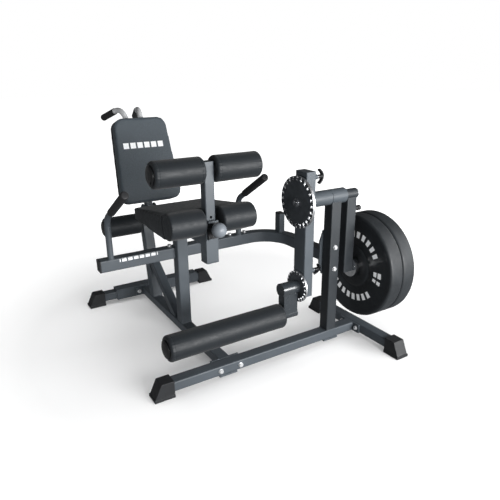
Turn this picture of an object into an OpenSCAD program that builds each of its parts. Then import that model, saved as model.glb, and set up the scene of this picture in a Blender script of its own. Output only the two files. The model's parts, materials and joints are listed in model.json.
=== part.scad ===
// Plate-loaded seated leg extension and leg curl machine.
// Built in machine coordinates: X = 0 is the middle of the seat, Y = 0 is the pivot line,
// Z = 0 is the floor, the user faces -Y. placed() then moves it to the middle of its footprint.

/* [Frame] */
// Width of the square frame tube
tube_w = 50; // [48:1:52]
// Height of the base tubes, which are as wide as the frame tube
base_h = 40; // [36:1:42]
// Height of the underside of the base tubes above the floor
base_z = 20; // [18:1:24]
// Wall of all steel tubes
wall = 2.5; // [2:0.5:3]
// Corner radius of the square tubes
tube_r = 5; // [3:1:7]
// Thickness of the bolted flange plates
plate_t = 8; // [6:1:8]
// Height of the middle of the curved cross beam
beam_z = 392; // [385:1:400]
// Distance of the cross beam behind the pivot line
beam_y = 423; // [415:1:430]
// Radius of the cross beam's bend, along its middle
beam_bend = 150; // [140:5:160]

/* [Arms] */
// Height of the pivot line
pivot_z = 650; // [640:1:660]
// Distance of the crank axle below the pivot line
crank_drop = 352; // [345:1:355]
// Distance of the ankle roller below the crank axle
roller_drop = 110; // [105:1:115]
// Distance of the weight horn below the pivot line
horn_drop = 324; // [320:1:330]
// Radius of the large index dial
dial_r = 102; // [96:1:104]
// Number of holes in the large index dial
dial_holes = 24; // [18:2:24]
// Radius of the small index dial
small_dial_r = 65; // [60:1:66]
// Number of holes in the small index dial
small_dial_holes = 20; // [16:2:22]

/* [Weights] */
// Radius of a weight plate
weight_r = 225; // [200:5:225]
// Thickness of a weight plate
weight_t = 68; // [50:1:68]
// Radius of the weight horn
horn_r = 25; // [24:0.5:25]

/* [Padding] */
// Radius of the foam rollers
foam_r = 50; // [45:1:50]
// Length of the ankle roller
ankle_len = 500; // [460:10:500]
// Length of each thigh roller
thigh_len = 193; // [180:1:196]
// Half width of the seat at its front
seat_half_w = 180; // [170:1:185]
// Height of the seat's underside
seat_z = 546; // [542:1:550]
// Width of the backrest at its bottom
back_w = 292; // [280:1:300]
// Length of the backrest
back_len = 390; // [370:5:400]
// Lean of the backrest from the vertical, in degrees
back_lean = 16.5; // [14:0.5:20]

/* [Hidden] */
$fn = 48;

graphite = "#2b2e33";
black = "#16181a";
steel = "#c9ccd0";
half_w = tube_w / 2;
base_top = base_z + base_h;
base_mid = base_z + base_h / 2;

// Running gap of a pin or shaft in its hole, and gap between bodies that slide on flat faces
run_gap = 0.05;
slide_gap = 0.3;

// Height of the collars on the bent bars
collar = 0.4;

// How far a cutting shape runs past the face that it cuts
over = 1;

// Base frame
front_bar_x = [-277, 632];
right_bar_x = 665;
right_bar_y = [-252, 257];
rear_bar_y = 912;
rear_bar_x = [-262, 350];
sleeve_x = [-160, 300];
sleeve_t = 5;
cap_len = 80;
cap_w = 62;
cap_top = base_top + 7;
cap_lip = 12;
cap_socket = 40;
flange_bolt = 44;
flange_half_w = 62;
pad_x = [-10, 504];
pad_half_w = 38;
end_cap_t = 5;
rear_limit_y = 1080;

// Uprights
seat_post_y = 401;
rear_foot_y = 745;
rear_lean = 10.3;
rear_top_z = 470;
right_x = 504;
stub_y = 350;
stub_w = 30;
stub_d = 40;
stub_h = 86;
stub_cap_t = 6;
brace_w = 40;
brace_len = 350;
brace_lean = 54;
brace_foot_y = 470;

// Cross beam
beam_left_x = -345;
beam_turn_x = right_x - beam_bend;
beam_turn_y = beam_y - beam_bend;
beam_end_y = half_w + plate_t;
beam_top = beam_z + half_w;
beam_plate_bolt = 47.5;
beam_plate_side = [[22, 112], [39, 62], [39, -28], [24, -80]];
splice_bolt_x = [-38, 38, 262, 340];

// Side handles
handle_x = 300;
handle_y = 413;
handle_r = 12.5;
handle_bend_r = 60;
handle_bend = 59.7;
handle_toe = 2;
handle_rise = 134;
handle_reach = 236;
grip_len = 196;
grip_r = 16;

// Thigh post
post_w = 40;
post_y = 120;
post_z = [470, 822];
post_hole_z = 617;
sleeve_z = [439, 600];
pin_z = 582;
thigh_z = 792;
thigh_gap = 22;
axle_r = 12.5;
axle_end = 3;
cap_gap = 1;
roller_round = 9;
post_hole_step = 35;
knob_y = 38;
knob_r = 28;
pin_tip_y = 55;

// Seat
seat_rear_y = 482;
seat_roll = [103, 603];
seat_roll_r = 50;
seat_notch = 37;
seat_rear_t = 45;
seat_front_t = 92;
seat_taper = 15;
board_inset = 14;
board_t = 10;
board_y = 172;
strap_t = 4;

// Backrest: its own frame has Z up along the pad, Y towards the back of the pad
back_origin = [0, 675, 563];
back_pad_t = 50;
back_board_t = 14;
back_top_w = 254;
back_corner = 46;
spine_w = 30;
spine_d = 40;
spine_y = back_pad_t + back_board_t + strap_t + spine_d / 2;
hinge_local_z = -20;
hinge_y = back_origin[1] + spine_y * cos(back_lean) + hinge_local_z * sin(back_lean);
hinge_z = back_origin[2] - spine_y * sin(back_lean) + hinge_local_z * cos(back_lean);
hinge_r = 8;
cheek_t = 6;
sector_t = 6;
sector_r = 46;
sector_pin_angle = -38;
sector_step = 14.7;
sector_stops = 6;
sector_rim = 12;
sector_margin = 15;
pull_x = 35;
pull_r = 12.5;
pull_foot_z = 120;
pull_corner_z = 461.6;
pull_bend_r = 85;
pull_bend = 91.2;
pull_turn = 77.4;
pull_reach = 126;
pull_grip_r = 16;

// Rear rollers
rear_roller = [804, 431];
rear_roller_x = [35, 210];

// Arms and shafts
shaft_r = 15;
dial_x = [320, 330];
lever_x = [338, 383];
lever_d = 72;
lever_z = [257, 768];
hub_r = 31;
lever_hub_x = [332, 477];
housing_x = [479, 555];
bearing_r = 27.5;
bearing_w = 13;
race_r = [18.5, 24];
dial_bore_r = 10;
crank_arm_d = 40;
crank_wall = 4;
crank_collar_r = 21;
bush_r = 18;
bush_len = 30;
weight_arm_x = [560, 610];
weight_arm_z = [315, 640];
arm_hub_x = [557, 620];
arm_hub_r = 21.5;
dial_pitch_r = 89;
small_dial_pitch_r = 54;
small_hole_r = 4.4;
lower_pin_r = 4;
crank_z = pivot_z - crank_drop;
ankle_z = crank_z - roller_drop;
crank_dial_x = [329, 335];
crank_hub_x = [248, 329];
crank_hub_r = 28;
crank_shaft_r = 12.5;
ankle_x = 2;
crank_arm_x = [254, 320];
crank_tube_end = 324;
ankle_tube_r = 14;
pin_r = 5;
pin_tip_gap = 1;
housing_r = 10;
pin_housing_len = 30;
handle_gap = 9;
handle_stem_len = 20;
handle_stem_r = 8;
crescent_back = 10.5;
crescent_sweep = 124;
crescent_path_r = 29;
crescent_r = 10;
crescent_flat = 0.55;
lower_handle_turn = 35;

// Weights
horn_z = pivot_z - horn_drop;
horn_len = 220;
flange_t = 16;
flange_r = 45;
inner_plate_x = 633;
outer_plate_x = inner_plate_x + weight_t + 0.5;
plate_hub_r = 34;
plate_hub_gap = 0.1;
rim_round = 6;
rim_w = 26;
web_r = 62;
web_depth = 5;
peg_z = 584;

// Middle of the footprint, in machine coordinates
middle = [
    (beam_left_x - end_cap_t + weight_arm_x[1] + horn_len) / 2,
    (right_bar_y[0] - cap_len + cap_socket + rear_limit_y) / 2
];

bolt_r = 5;
bolt_gap = 0.25;
bolt_head_r = 8.5;
bolt_head_t = 6;
washer_r = 10;
washer_t = 1.5;
bolt_tail = 9;

// Bolts: middle of the head's face, turn, and length between head and nut
base_bolt_grip = tube_w + plate_t;
bolts = concat(
    [for (s = [-1, 1]) [[s * flange_bolt, -half_w, base_mid], [-90, 0, 0], base_bolt_grip]],
    [for (s = [-1, 1]) [[s * flange_bolt, rear_bar_y + half_w + sleeve_t, base_mid], [90, 0, 0],
        base_bolt_grip + 2 * sleeve_t]],
    [for (s = [-1, 1]) [[right_bar_x + half_w, s * flange_bolt, base_mid], [0, -90, 0], base_bolt_grip]],
    [for (s = [-1, 1]) [[right_x, -half_w, beam_z + s * beam_plate_bolt], [-90, 0, 0], base_bolt_grip]],
    [for (x = splice_bolt_x) [[x, beam_y + 8, beam_top], [180, 0, 0], tube_w]]
);

// Moves the machine so that the middle of its footprint is the origin
module placed() translate([-middle[0], -middle[1], 0]) children();

// Length between the two ends of a range
function span(range) = range[1] - range[0];

// Box between two corners
module slab(low, high) translate(low) cube(high - low);

// Turns a shape drawn along +Z to lie along +X or +Y
module along_x() rotate([0, 90, 0]) children();
module along_y() rotate([-90, 0, 0]) children();

module round_rect(w, h, r) {
    square([w - 2 * r, h], center = true);
    square([w, h - 2 * r], center = true);
    for (sx = [-1, 1], sy = [-1, 1])
        translate([sx * (w / 2 - r), sy * (h / 2 - r)]) circle(r);
}

// Hollow tube section
module tube_section(w, h) difference() {
    round_rect(w, h, tube_r);
    square([w - 2 * wall, h - 2 * wall], center = true);
}

module tube_z(w, h, len) linear_extrude(len) tube_section(w, h);

// Cylinder along X between two places, centred on a line at y and z
module rod_x(x, y, z, r) translate([x[0], y, z]) along_x() cylinder(h = x[1] - x[0], r = r);

// Cutting cylinder along X that runs past both places
module bore_x(x, y, z, r) rod_x([x[0] - over, x[1] + over], y, z, r);

// Ring of holes along X
module hole_ring(x, z, pitch_r, count, r)
    for (i = [0:count - 1])
        bore_x(x, pitch_r * sin(360 * i / count), z + pitch_r * cos(360 * i / count), r);

// Round bar that rises, bends towards +X and goes on straight, with a thin collar at both ends of the bend
module bent_bar(rise, bend_r, angle, reach, r) {
    cylinder(h = rise, r = r);
    translate([bend_r, 0, rise]) rotate([90, 0, 180])
        rotate_extrude(angle = angle) translate([bend_r, 0]) circle(r);
    on_bent_end(rise, bend_r, angle) cylinder(h = reach, r = r);
    translate([0, 0, rise - 1]) cylinder(h = 2, r = r + collar);
    on_bent_end(rise, bend_r, angle) translate([0, 0, -1]) cylinder(h = 2, r = r + collar);
}

// Place of the end of the bend of bent_bar, for pieces on its straight end
module on_bent_end(rise, bend_r, angle)
    translate([bend_r * (1 - cos(angle)), 0, rise + bend_r * sin(angle)]) rotate([0, angle, 0]) children();

// Foam tube along X with rounded ends
module foam_tube(x, y, z, bore_r, round_r) translate([x[0], y, z]) along_x() rotate_extrude() difference() {
    union() {
        translate([0, round_r]) square([foam_r, x[1] - x[0] - 2 * round_r]);
        square([foam_r - round_r, x[1] - x[0]]);
        for (h = [round_r, x[1] - x[0] - round_r]) translate([foam_r - round_r, h]) circle(round_r);
    }
    square([2 * bore_r, 3 * (x[1] - x[0])], center = true);
}

// Domed end cap that stands on a roller axle, pointing along +X from x
module roller_cap(x, y, z) translate([x, y, z]) along_x() difference() {
    union() {
        cylinder(h = 4, r = 30);
        cylinder(h = 9, r = 16);
    }
    translate([0, 0, -1]) cylinder(h = 6, r = axle_r);
}

// Hexagon bolt with washers and nut; the head is below z = 0 and the nut above z = grip
module bolt(grip) {
    for (z = [-washer_t - bolt_head_t, grip + washer_t])
        translate([0, 0, z]) cylinder(h = bolt_head_t, r = bolt_head_r, $fn = 6);
    for (z = [-washer_t, grip]) translate([0, 0, z]) cylinder(h = washer_t, r = washer_r);
    translate([0, 0, -over]) cylinder(h = grip + over + bolt_tail, r = bolt_r);
}

module bolt_holes() for (b = bolts) translate(b[0]) rotate(b[1]) translate([0, 0, -2])
    cylinder(h = b[2] + 4, r = bolt_r + bolt_gap);

// Rubber cap over the end of a base tube; the tube's end is at the origin and points along +X
module foot_cap() difference() {
    tip = cap_len - cap_socket;
    union() {
        slab([-cap_socket, -cap_w / 2, 0], [tip, cap_w / 2, cap_lip]);
        translate([0, cap_w / 2 - 3, 0]) rotate([90, 0, 0]) linear_extrude(cap_w - 6)
            polygon([[-cap_socket, cap_lip / 2], [tip - 3, cap_lip / 2], [tip - 3, cap_lip],
                [tip - 29, cap_top], [-cap_socket, cap_top]]);
    }
    slab([-cap_socket - 1, -half_w, base_z], [0, half_w, base_top]);
}

// Base frame
module front_base_bar() color(graphite) placed() difference() {
    union() {
        translate([front_bar_x[0], 0, base_mid]) along_x() tube_z(base_h, tube_w, span(front_bar_x));
        slab([front_bar_x[1], -flange_half_w, base_z], [front_bar_x[1] + plate_t, flange_half_w, base_top]);
        for (x = pad_x)
            slab([x - pad_half_w, -half_w, base_z - plate_t], [x + pad_half_w, half_w, base_z]);
    }
    bolt_holes();
}

module right_base_bar() color(graphite) placed() difference() {
    translate([right_bar_x, right_bar_y[0], base_mid]) along_y() tube_z(tube_w, base_h, span(right_bar_y));
    bolt_holes();
}

module base_rail() color(graphite) placed() difference() {
    union() {
        translate([0, half_w + plate_t, base_mid]) along_y()
            tube_z(tube_w, base_h, rear_bar_y - tube_w - 2 * plate_t - sleeve_t);
        for (y = [half_w, rear_bar_y - half_w - sleeve_t - plate_t])
            slab([-flange_half_w, y, base_z], [flange_half_w, y + plate_t, base_top]);
    }
    bolt_holes();
}

module rear_base_bar() color(graphite) placed() difference() {
    union() {
        translate([rear_bar_x[0], rear_bar_y, base_mid]) along_x()
            tube_z(base_h, tube_w, span(rear_bar_x));
        difference() {
            slab([sleeve_x[0], rear_bar_y - half_w - sleeve_t, base_z - sleeve_t],
                [sleeve_x[1], rear_bar_y + half_w + sleeve_t, base_top + 2 * sleeve_t]);
            slab([sleeve_x[0] - over, rear_bar_y - half_w + over, base_z + over],
                [sleeve_x[1] + over, rear_bar_y + half_w - over, base_top - over]);
        }
    }
    bolt_holes();
}

module foot_caps() color(black) placed() {
    translate([front_bar_x[0], 0, 0]) rotate([0, 0, 180]) foot_cap();
    translate([right_bar_x, right_bar_y[0], 0]) rotate([0, 0, -90]) foot_cap();
    translate([right_bar_x, right_bar_y[1], 0]) rotate([0, 0, 90]) foot_cap();
    translate([rear_bar_x[0], rear_bar_y, 0]) rotate([0, 0, 180]) foot_cap();
    translate([rear_bar_x[1], rear_bar_y, 0]) foot_cap();
}

// Uprights, brace and beam
module front_upright() color(graphite) placed() difference() {
    translate([0, seat_post_y, base_top]) tube_z(tube_w, tube_w, seat_z - strap_t - base_top);
    slab([-tube_w, beam_y - half_w, beam_z - half_w], [tube_w, beam_y + tube_w, beam_z + half_w]);
}

module rear_upright_shape() translate([0, rear_foot_y, base_top]) rotate([-rear_lean, 0, 0])
    translate([0, 0, -20]) linear_extrude(rear_top_z) round_rect(tube_w, tube_w, tube_r);

module rear_upright() color(graphite) placed() difference() {
    translate([0, rear_foot_y, base_top]) rotate([-rear_lean, 0, 0])
        translate([0, 0, -20]) tube_z(tube_w, tube_w, rear_top_z);
    slab([-100, 600, -50], [100, 1000, base_top]);
    slab([-100, 600, rear_top_z], [100, 1000, rear_top_z + 100]);
    rod_x([-40, 40], rear_roller[0], rear_roller[1], axle_r);
}

module diagonal_brace() color(graphite) placed() difference() {
    translate([0, brace_foot_y, base_top - 10]) rotate([-brace_lean, 0, 0])
        tube_z(brace_w, brace_w, brace_len);
    slab([-100, 300, -100], [100, 700, base_top]);
    rear_upright_shape();
}

module cross_beam() color(graphite) placed() difference() {
    union() {
        translate([beam_left_x, beam_y, beam_z]) along_x() tube_z(tube_w, tube_w, beam_turn_x - beam_left_x);
        translate([beam_turn_x, beam_turn_y, beam_z]) rotate_extrude(angle = 90)
            translate([beam_bend, 0]) tube_section(tube_w, tube_w);
        translate([right_x, beam_end_y, beam_z]) along_y() tube_z(tube_w, tube_w, beam_turn_y - beam_end_y);
        translate([right_x, beam_end_y, beam_z]) rotate([90, 0, 0]) linear_extrude(plate_t)
            polygon(concat(beam_plate_side,
                [for (i = [3:-1:0]) [-beam_plate_side[i][0], beam_plate_side[i][1]]]));
    }
    bolt_holes();
}

module beam_end_cap() color(black) placed()
    translate([beam_left_x - end_cap_t, beam_y, beam_z]) along_x() {
        linear_extrude(end_cap_t) round_rect(tube_w, tube_w, tube_r);
        linear_extrude(20) square(tube_w - 2 * wall, center = true);
    }

module stub_post() color(graphite) placed()
    translate([right_x - stub_w / 2, stub_y, beam_top]) tube_z(stub_w, stub_d, stub_h);

module stub_post_cap() color(black) placed()
    translate([right_x - stub_w / 2, stub_y, beam_top + stub_h]) {
        linear_extrude(stub_cap_t) round_rect(stub_w, stub_d, tube_r);
        translate([0, 0, -2 * stub_cap_t]) linear_extrude(2 * stub_cap_t)
            square([stub_w - 2 * wall, stub_d - 2 * wall], center = true);
    }

module right_upright() color(graphite) placed() difference() {
    translate([right_x, 0, base_top]) tube_z(tube_w, tube_w, pivot_z - base_top);
    rod_x([housing_x[0] - 10, housing_x[1]], 0, pivot_z, hub_r);
    bolt_holes();
}

module bearing_housing() color(graphite) placed() difference() {
    rod_x(housing_x, 0, pivot_z, hub_r);
    bore_x(housing_x, 0, pivot_z, bearing_r - 3);
    for (x = [housing_x[0], housing_x[1] - bearing_w])
        bore_x([x, x + bearing_w], 0, pivot_z, bearing_r);
}

module pivot_bearings() color(steel) placed()
    for (x = [housing_x[0] + 1, housing_x[1] - bearing_w - 1]) difference() {
        rod_x([x, x + bearing_w], 0, pivot_z, bearing_r);
        bore_x([x, x + bearing_w], 0, pivot_z, shaft_r + run_gap);
        for (side = [x - 1, x + bearing_w - 1]) difference() {
            rod_x([side, side + 2], 0, pivot_z, race_r[1]);
            bore_x([side, side + 2], 0, pivot_z, race_r[0]);
        }
    }

// Seat
module seat_carrier() color(graphite) placed() difference() {
    union() {
        slab([-half_w, post_y - half_w, sleeve_z[0]], [half_w, post_y + half_w, sleeve_z[1]]);
        translate([0, post_y + half_w, seat_z - strap_t - 20]) along_y()
            tube_z(tube_w, 40, seat_post_y - post_y - tube_w);
        for (y = [190, 340]) slab([-140, y, seat_z - strap_t], [140, y + 40, seat_z]);
        slab([-20, post_y - half_w - 14, 534], [20, post_y - half_w, 607]);
    }
    slab([-post_w / 2 - slide_gap, post_y - post_w / 2 - slide_gap, 400],
        [post_w / 2 + slide_gap, post_y + post_w / 2 + slide_gap, 700]);
    translate([0, 70, pin_z]) along_y() cylinder(h = 40, r = pin_r + run_gap);
}

module seat_plan(inset) difference() {
    polygon([[-seat_half_w + inset, 0], [seat_half_w - inset, 0],
        [seat_half_w - seat_taper - inset, seat_rear_y - inset],
        [-seat_half_w + seat_taper + inset, seat_rear_y - inset]]);
    translate([-seat_notch - inset, 0]) square([2 * (seat_notch + inset), post_y + 30 + inset]);
}

module seat_board() color(black) placed() intersection() {
    translate([0, 0, seat_z]) linear_extrude(board_t) seat_plan(board_inset);
    slab([-400, board_y + 6, 0], [400, 600, 1000]);
}

module seat_pad() color(black) placed() difference() {
    intersection() {
        translate([-250, 0, 0]) rotate([90, 0, 90]) linear_extrude(500) {
            translate(seat_roll) circle(seat_roll_r);
            polygon([
                [seat_roll[0], seat_roll[1] - seat_roll_r],
                [board_y, seat_z],
                [seat_rear_y, seat_z],
                [seat_rear_y, seat_z + seat_rear_t],
                [seat_roll[0] + seat_roll_r, seat_z + seat_front_t],
                [seat_roll[0], seat_roll[1] + seat_roll_r]
            ]);
        }
        linear_extrude(900) seat_plan(0);
    }
    translate([0, 0, seat_z - 1]) linear_extrude(board_t + 1) intersection() {
        seat_plan(board_inset);
        translate([-400, board_y + 6]) square([800, 600]);
    }
}

// Side handles
module on_handle(side) placed() translate([side * handle_x, handle_y, beam_top])
    rotate([0, 0, -90 - side * handle_toe]) children();

module side_handle(side) on_handle(side)
    bent_bar(handle_rise, handle_bend_r, handle_bend, handle_reach, handle_r);

module side_handle_left() color(graphite) side_handle(1);
module side_handle_right() color(graphite) side_handle(-1);

module side_grips() color(black) for (side = [-1, 1]) on_handle(side)
    on_bent_end(handle_rise, handle_bend_r, handle_bend) difference() {
        translate([0, 0, handle_reach - grip_len]) cylinder(h = grip_len + 4, r = grip_r);
        translate([0, 0, handle_reach - grip_len - 1]) cylinder(h = grip_len + 1, r = handle_r);
    }

module frame_bolts() color(steel) placed() for (b = bolts) translate(b[0]) rotate(b[1]) bolt(b[2]);

// Backrest hinge on the rear upright
module cheek(x) translate([x, 0, 0]) rotate([90, 0, 90]) linear_extrude(cheek_t) hull() {
    translate([hinge_y, hinge_z]) circle(18, $fn = 32);
    translate([rear_roller[0] - 4, rear_roller[1] - 6]) square([28, 10]);
    translate([rear_roller[0] + 2, rear_top_z - 18]) square([28, 16]);
}

function recline_pin_y() = hinge_y + sector_r * cos(sector_pin_angle);
function recline_pin_z() = hinge_z + sector_r * sin(sector_pin_angle);

module recline_bracket() color(graphite) placed() difference() {
    union() {
        cheek(half_w);
        cheek(-half_w - cheek_t);
        rod_x([half_w + cheek_t, half_w + 20], recline_pin_y(), recline_pin_z(), 8);
    }
    rod_x([-50, 50], hinge_y, hinge_z, hinge_r + run_gap);
    rod_x([0, 60], recline_pin_y(), recline_pin_z(), pin_r + run_gap);
    rod_x([-50, 50], rear_roller[0], rear_roller[1], axle_r + 2);
}

module recline_pin() color(black) placed() {
    rod_x([spine_w / 2 + sector_t + pin_tip_gap, half_w + 24], recline_pin_y(), recline_pin_z(), pin_r);
    rod_x([half_w + 22, half_w + 28], recline_pin_y(), recline_pin_z(), 8);
    rod_x([half_w + 28, half_w + 46], recline_pin_y(), recline_pin_z(), 10);
}

// Rear rollers
module rear_roller_tube() color(graphite) placed() difference() {
    ends = [-rear_roller_x[1] - axle_end, rear_roller_x[1] + axle_end];
    rod_x(ends, rear_roller[0], rear_roller[1], axle_r);
    bore_x(ends, rear_roller[0], rear_roller[1], axle_r - wall);
}

module cap_pair(y, z, x) for (side = [0, 1]) mirror([side, 0, 0]) roller_cap(x, y, z);

module rear_roller_caps() color(steel) placed()
    cap_pair(rear_roller[0], rear_roller[1], rear_roller_x[1] + cap_gap);

module rear_roller_right() color(black) placed()
    foam_tube([-rear_roller_x[1], -rear_roller_x[0]], rear_roller[0], rear_roller[1],
        axle_r + run_gap, roller_round);

module rear_roller_left() color(black) placed()
    foam_tube(rear_roller_x, rear_roller[0], rear_roller[1],
        axle_r + run_gap, roller_round);

// Thigh hold-down
thigh_axle_x = [-thigh_gap - thigh_len - axle_end, thigh_gap + thigh_len + axle_end];

module thigh_post() color(graphite) placed() difference() {
    union() {
        translate([0, post_y, post_z[0]]) tube_z(post_w, post_w, post_z[1] - post_z[0]);
        slab([-post_w / 2 + wall, post_y - post_w / 2 + wall, post_z[1] - 4],
            [post_w / 2 - wall, post_y + post_w / 2 - wall, post_z[1]]);
        rod_x(thigh_axle_x, post_y, thigh_z, axle_r);
    }
    bore_x(thigh_axle_x, post_y, thigh_z, axle_r - wall);
    for (z = [post_hole_z - 3 * post_hole_step:post_hole_step:post_hole_z])
        translate([0, post_y - post_w, z]) along_y() cylinder(h = post_w, r = pin_r + bolt_gap);
}

module thigh_roller_caps() color(steel) placed() cap_pair(post_y, thigh_z, thigh_gap + thigh_len + cap_gap);

module thigh_roller_right() color(black) placed()
    foam_tube([-thigh_gap - thigh_len, -thigh_gap], post_y, thigh_z, axle_r + run_gap, roller_round);

module thigh_roller_left() color(black) placed()
    foam_tube([thigh_gap, thigh_gap + thigh_len], post_y, thigh_z, axle_r + run_gap, roller_round);

module post_pin() color(steel) placed()
    translate([0, pin_tip_y, pin_z]) along_y()
        cylinder(h = post_y - post_w / 2 - pin_tip_y - pin_tip_gap, r = pin_r);

module post_knob() color("#6b6f74") placed() difference() {
    union() {
        translate([0, knob_y, pin_z]) sphere(knob_r);
        translate([0, 60, pin_z]) along_y() cylinder(h = 16, r = 10);
    }
    translate([0, pin_tip_y, pin_z]) along_y() cylinder(h = 40, r = pin_r);
}

// Turning parts on the pivot line
module pivot_shaft() color(steel) placed() {
    rod_x([dial_x[1], arm_hub_x[1] + 2], 0, pivot_z, shaft_r);
    rod_x([dial_x[0] - 1, dial_x[1] + 1], 0, pivot_z, dial_bore_r);
    rod_x([dial_x[0] - 3, dial_x[0]], 0, pivot_z, 17);
    difference() {
        rod_x([dial_x[0] - 10, dial_x[0] - 2], 0, pivot_z, 13);
        translate([dial_x[0] - 11, 0, pivot_z]) along_x() cylinder(h = 6, r = 7.5, $fn = 6);
    }
    rod_x([arm_hub_x[1], arm_hub_x[1] + 6], 0, pivot_z, 18);
}

module index_dial() color(black) placed() difference() {
    rod_x(dial_x, 0, pivot_z, dial_r);
    bore_x(dial_x, 0, pivot_z, dial_bore_r);
    hole_ring(dial_x, pivot_z, dial_pitch_r, dial_holes, pin_r + 0.5);
}

module weight_arm() color(graphite) placed() difference() {
    union() {
        translate([(weight_arm_x[0] + weight_arm_x[1]) / 2, 0, weight_arm_z[0]]) {
            tube_z(tube_w, tube_w, span(weight_arm_z));
            linear_extrude(4) square(tube_w - 2 * wall, center = true);
        }
        rod_x(arm_hub_x, 0, pivot_z, arm_hub_r);
    }
    bore_x(arm_hub_x, 0, pivot_z, shaft_r);
}

module horn_flange() color(steel) placed() difference() {
    rod_x([weight_arm_x[1], weight_arm_x[1] + flange_t], 0, horn_z, flange_r);
    bore_x([weight_arm_x[1], weight_arm_x[1] + flange_t], 0, horn_z, horn_r);
}

module weight_horn() color(steel) placed() translate([weight_arm_x[1], 0, horn_z]) along_x() rotate_extrude()
    polygon([[0, 0], [horn_r, 0], [horn_r, 160], [horn_r - 1, 160], [horn_r - 1, 162], [horn_r, 162],
        [horn_r, horn_len - 2], [horn_r - 2, horn_len], [0, horn_len]]);

module arm_peg() color(black) placed() {
    rod_x([weight_arm_x[1], weight_arm_x[1] + 30], 0, peg_z, 9);
    rod_x([weight_arm_x[1] + 26, weight_arm_x[1] + 40], 0, peg_z, 11);
}

// Weight plate along +X from x: thick rim, thinner web and a raised ring round the hub
module weight_plate(x) placed() translate([x, 0, horn_z]) along_x() rotate_extrude() difference() {
    union() {
        translate([0, rim_round]) square([weight_r, weight_t - 2 * rim_round]);
        square([weight_r - rim_round, weight_t]);
        for (h = [rim_round, weight_t - rim_round]) translate([weight_r - rim_round, h]) circle(rim_round);
    }
    translate([-over, -over]) square([plate_hub_r + over, weight_t + 2 * over]);
    for (h = [-over, weight_t - web_depth])
        translate([web_r, h]) square([weight_r - rim_w - web_r, web_depth + over]);
}

module plate_hub(x) placed() difference() {
    rod_x([x, x + weight_t], 0, horn_z, plate_hub_r);
    bore_x([x, x + weight_t], 0, horn_z, horn_r + plate_hub_gap);
}

module inner_plate() color(black) weight_plate(inner_plate_x);
module inner_plate_hub() color(steel) plate_hub(inner_plate_x);
module outer_plate() color(black) weight_plate(outer_plate_x);
module outer_plate_hub() color(steel) plate_hub(outer_plate_x);

// Lever arm with its hub, its axle bore at the crank and its two pull pins
module lever_arm() color(graphite) placed() difference() {
    union() {
        translate([(lever_x[0] + lever_x[1]) / 2, 0, lever_z[0]]) {
            tube_z(span(lever_x), lever_d, span(lever_z));
            for (z = [0, span(lever_z) - 4]) translate([0, 0, z])
                linear_extrude(4) square([span(lever_x) - 2 * wall, lever_d - 2 * wall], center = true);
        }
        rod_x(lever_hub_x, 0, pivot_z, hub_r);
        rod_x([lever_x[0] - 2, lever_x[1]], 0, crank_z, 18);
        for (z = [pivot_z + dial_pitch_r, crank_z + small_dial_pitch_r])
            rod_x([lever_x[0], lever_x[1] + pin_housing_len], 0, z, housing_r);
    }
    bore_x(lever_hub_x, 0, pivot_z, bush_r);
    rod_x([lever_x[0] - 3, lever_x[1] + 1], 0, crank_z, crank_shaft_r + run_gap);
    for (pin = [[pivot_z + dial_pitch_r, pin_r], [crank_z + small_dial_pitch_r, lower_pin_r]])
        bore_x([lever_x[0], lever_x[1] + pin_housing_len], 0, pin[0], pin[1] + run_gap);
}

module lever_bushings() color("#d8d3c4") placed()
    for (x = [lever_hub_x[0], lever_hub_x[1] - bush_len]) difference() {
        rod_x([x, x + bush_len], 0, pivot_z, bush_r);
        bore_x([x, x + bush_len], 0, pivot_z, shaft_r + run_gap);
    }

module pull_pin(tip_x, z, r) placed()
    rod_x([tip_x, lever_x[1] + pin_housing_len + handle_gap + 10], 0, z, r);

// Curved crossbar on a short stem, turned about the pin
module pull_handle(z, turn, r) placed()
    translate([lever_x[1] + pin_housing_len + handle_gap, 0, z]) rotate([turn, 0, 0]) difference() {
        union() {
            along_x() cylinder(h = handle_stem_len, r = handle_stem_r);
            translate([-crescent_back, 0, 0]) rotate([90, 0, 0]) rotate([0, 0, -crescent_sweep / 2])
                rotate_extrude(angle = crescent_sweep) translate([crescent_path_r, 0])
                    scale([crescent_flat, 1]) circle(crescent_r);
        }
        translate([-1, 0, 0]) along_x() cylinder(h = 11, r = r);
    }

module upper_pin() color(steel) pull_pin(dial_x[1] + pin_tip_gap, pivot_z + dial_pitch_r, pin_r);
module upper_pin_handle() color(black) pull_handle(pivot_z + dial_pitch_r, 0, pin_r);
module lower_pin() color(steel)
    pull_pin(crank_dial_x[1] + pin_tip_gap, crank_z + small_dial_pitch_r, lower_pin_r);
module lower_pin_handle() color(black)
    pull_handle(crank_z + small_dial_pitch_r, lower_handle_turn, lower_pin_r);

// Crank with the ankle roller
module crank() color(graphite) placed() {
    difference() {
        union() {
            rod_x(crank_hub_x, 0, crank_z, crank_hub_r);
            slab([crank_arm_x[0], -crank_arm_d / 2, ankle_z], [crank_arm_x[1], crank_arm_d / 2, crank_z]);
            rod_x([ankle_x - ankle_len / 2 - 3, crank_tube_end], 0, ankle_z, ankle_tube_r);
            rod_x([crank_arm_x[0], crank_tube_end], 0, ankle_z, crank_collar_r);
        }
        slab([crank_arm_x[0] + crank_wall, -crank_arm_d / 2 + crank_wall, ankle_z + crank_collar_r + 3],
            [crank_arm_x[1] - crank_wall, crank_arm_d / 2 - crank_wall, crank_z - crank_hub_r - 2]);
    }
    rod_x([crank_hub_x[1] - 1, lever_x[1] + 12], 0, crank_z, crank_shaft_r);
    rod_x([lever_x[1] + 1, lever_x[1] + 3], 0, crank_z, 19);
    translate([lever_x[1] + 3, 0, crank_z]) along_x() cylinder(h = 9, r = 15, $fn = 6);
}

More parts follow.
